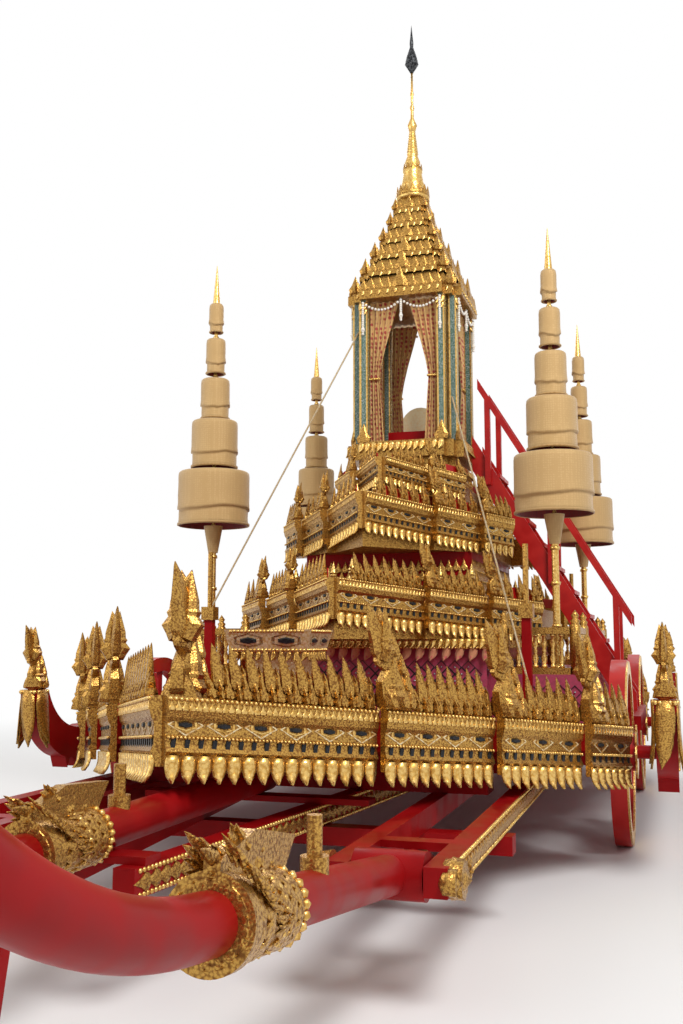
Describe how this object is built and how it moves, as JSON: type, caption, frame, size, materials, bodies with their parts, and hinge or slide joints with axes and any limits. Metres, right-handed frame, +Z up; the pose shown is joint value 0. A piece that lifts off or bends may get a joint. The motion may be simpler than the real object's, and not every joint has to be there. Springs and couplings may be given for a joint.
{
  "type": "royal processional chariot",
  "caption": "Gilded four-wheeled processional chariot with a stepped naga deck, boat-shaped tiers, a spired throne house, tiered umbrellas, boarding stair and hinged draw poles.",
  "frame": {"origin": "on the ground under the middle of the whole length and width", "axes": "+Z up, the front towards -Y, the chariot's left side at +X"},
  "size_m": [4.2, 12.8998, 6.97],
  "materials": {
    "gilded_wood": "carved wood under gold leaf",
    "red_lacquer": "deep red lacquer",
    "wheel_red": "bright red lacquer",
    "lattice_wall": "glass mosaic lattice on lacquer",
    "canopy_cloth": "gold brocade",
    "curtain_cloth": "red and gold brocade, maroon lining",
    "cream_panel": "cream lacquer",
    "mosaic_column": "green and silver glass mosaic",
    "dark_bud": "blackened metal",
    "rope": "twisted fibre",
    "iron": "painted iron"
  },
  "bodies": {
    "chassis": {"balustrade_posts": "gilded_wood", "balustrade_rails": "gilded_wood", "base_valance": "red_lacquer", "base_wall": "lattice_wall", "baton_posts": "red_lacquer", "batons": "gilded_wood", "centre_pole": "red_lacquer", "centre_pole_gilding": "gilded_wood", "charioteer_seat": "gilded_wood", "chassis_sills": "red_lacquer", "curtains": "curtain_cloth", "draw_bars": "red_lacquer", "draw_beams": "red_lacquer", "figure_terraces": "red_lacquer", "figures": "gilded_wood", "front_axle": "red_lacquer", "front_deck_band": "gilded_wood", "front_deck_crests": "gilded_wood", "hinge_pins": "iron", "house_base": "gilded_wood", "house_columns": "mosaic_column", "house_roof": "gilded_wood", "house_spire": "gilded_wood", "knuckle_caps": "gilded_wood", "lotus_bud": "dark_bud", "lower_deck": "red_lacquer", "outrigger_finials": "gilded_wood", "outriggers": "red_lacquer", "rear_axle": "red_lacquer", "rear_deck_band": "gilded_wood", "rear_deck_crests": "gilded_wood", "roof_antefixes": "gilded_wood", "side_terraces": "red_lacquer", "stair_handrails": "red_lacquer", "stair_stringers": "red_lacquer", "stair_treads": "red_lacquer", "stand_bracket": "iron", "stay_ropes": "rope", "throne_back": "cream_panel", "throne_dais": "red_lacquer", "tier_bands": "gilded_wood", "tier_crests": "gilded_wood", "tier_hulls": "gilded_wood", "umbrella_bags": "canopy_cloth", "umbrella_canopies": "canopy_cloth", "umbrella_poles": "gilded_wood"},
    "front_left_wheel_body": {"front_left_wheel": "wheel_red", "front_left_wheel_gilding": "gilded_wood"},
    "front_right_wheel_body": {"front_right_wheel": "wheel_red", "front_right_wheel_gilding": "gilded_wood"},
    "rear_left_wheel_body": {"rear_left_wheel": "wheel_red", "rear_left_wheel_gilding": "gilded_wood"},
    "rear_right_wheel_body": {"rear_right_wheel": "wheel_red", "rear_right_wheel_gilding": "gilded_wood"},
    "left_pole_body": {"left_pole": "red_lacquer", "left_pole_gilding": "gilded_wood"},
    "right_pole_body": {"right_pole": "red_lacquer", "right_pole_gilding": "gilded_wood"},
    "pole_stand_body": {"pole_stand": "red_lacquer"}
  },
  "joints": [
    {"name": "front_left_wheel_spin", "type": "hinge", "parent": "chassis", "child": "front_left_wheel_body", "pos_m": [1.74, 0.33719, 0.61], "axis": [1, 0, 0], "continuous": true},
    {"name": "front_right_wheel_spin", "type": "hinge", "parent": "chassis", "child": "front_right_wheel_body", "pos_m": [-1.74, 0.33719, 0.61], "axis": [1, 0, 0], "continuous": true},
    {"name": "rear_left_wheel_spin", "type": "hinge", "parent": "chassis", "child": "rear_left_wheel_body", "pos_m": [1.74, 3.09719, 0.61], "axis": [1, 0, 0], "continuous": true},
    {"name": "rear_right_wheel_spin", "type": "hinge", "parent": "chassis", "child": "rear_right_wheel_body", "pos_m": [-1.74, 3.09719, 0.61], "axis": [1, 0, 0], "continuous": true},
    {"name": "left_pole_lift", "type": "hinge", "parent": "chassis", "child": "left_pole_body", "pos_m": [1.05, -3.13281, 0.475], "axis": [-1, 0, 0], "range_deg": [0, 55]},
    {"name": "right_pole_lift", "type": "hinge", "parent": "chassis", "child": "right_pole_body", "pos_m": [-1.05, -3.13281, 0.475], "axis": [-1, 0, 0], "range_deg": [0, 55]},
    {"name": "pole_stand_fold", "type": "hinge", "parent": "chassis", "child": "pole_stand_body", "pos_m": [0, -4.16281, 0.4653], "axis": [1, 0, 0], "range_deg": [0, 100]}
  ]
}
